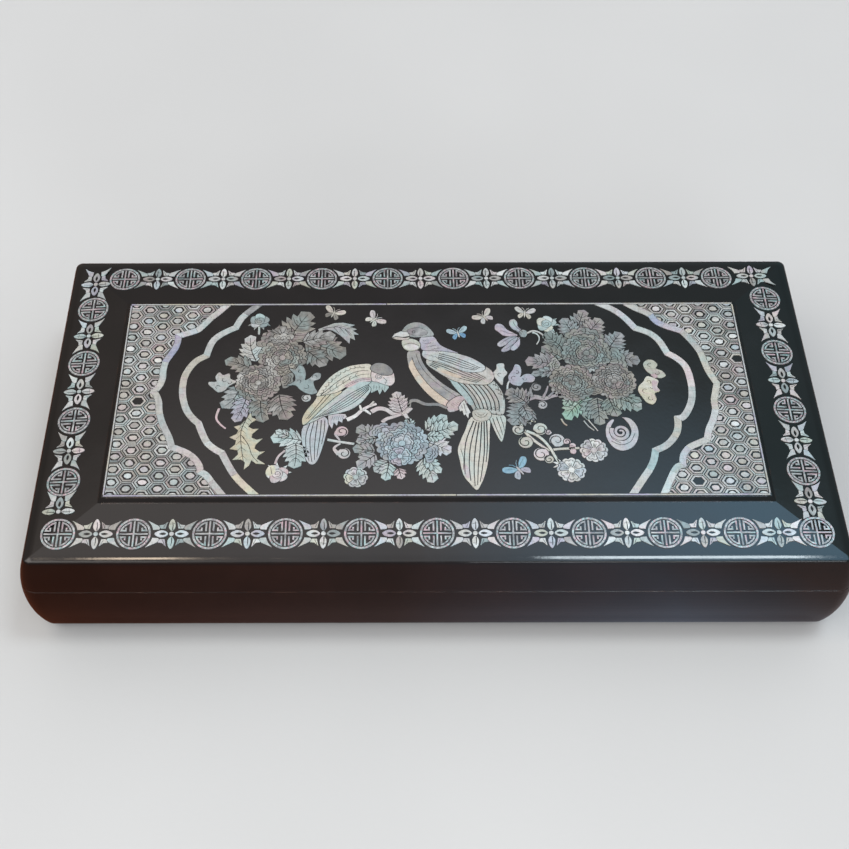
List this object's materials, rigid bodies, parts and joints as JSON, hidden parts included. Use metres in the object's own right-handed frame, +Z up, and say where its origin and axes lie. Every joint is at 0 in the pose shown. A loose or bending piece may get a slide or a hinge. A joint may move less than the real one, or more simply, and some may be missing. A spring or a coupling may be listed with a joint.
{
  "type": "inlaid lacquered box",
  "caption": "Long low lacquered wooden box with swelling sides, a hinged lid with a raised panel, and mother-of-pearl inlay of birds, flowers, scalloped bands and a fret border.",
  "frame": {"origin": "centre of the flat underside of the box", "axes": "+X along the length to the right, +Y to the hinged back, +Z up"},
  "size_m": [0.309, 0.1592, 0.0528],
  "materials": {
    "lacquer": "glossy",
    "velvet": "matte",
    "brass": "satin",
    "shell_silver": "polished",
    "shell_cream": "polished",
    "shell_aqua": "polished",
    "shell_pink": "polished"
  },
  "bodies": {
    "base": {"base_front": "lacquer", "base_back": "lacquer", "base_left": "lacquer", "base_right": "lacquer", "base_floor": "lacquer", "liner_front": "velvet", "liner_back": "velvet", "liner_left": "velvet", "liner_right": "velvet", "floor_pad": "velvet", "hinge_base_leaf_left": "brass", "hinge_base_leaf_right": "brass", "hinge_pin_left": "brass", "hinge_pin_right": "brass", "hinge_base_screws": "brass"},
    "lid": {"lid_front": "lacquer", "lid_back": "lacquer", "lid_left": "lacquer", "lid_right": "lacquer", "lid_top": "lacquer", "lid_pad": "velvet", "hinge_lid_leaf_left": "brass", "hinge_lid_leaf_right": "brass", "hinge_lid_screws": "brass", "panel_line": "shell_silver", "mosaic_left": "shell_cream", "mosaic_right": "shell_cream", "outer_band_left": "shell_silver", "outer_band_right": "shell_silver", "inner_band_left": "shell_silver", "inner_band_right": "shell_silver", "roundels_front": "shell_silver", "roundels_back": "shell_silver", "roundels_left": "shell_silver", "roundels_right": "shell_silver", "blossoms_front": "shell_aqua", "blossoms_back": "shell_pink", "blossoms_left": "shell_pink", "blossoms_right": "shell_aqua", "bird_left": "shell_pink", "bird_right": "shell_silver", "branch": "shell_pink", "peony_left": "shell_cream", "peony_centre": "shell_aqua", "peony_right": "shell_cream", "leaves_left": "shell_cream", "leaves_centre": "shell_aqua", "leaves_right": "shell_aqua", "buds": "shell_silver", "butterflies": "shell_pink", "tendrils": "shell_pink", "spiral_shell": "shell_silver"}
  },
  "joints": [
    {"name": "lid_hinge", "type": "hinge", "parent": "base", "child": "lid", "pos_m": [0, 0.07947, 0.03465], "axis": [-1, 0, 0], "range_deg": [0, 100]}
  ]
}
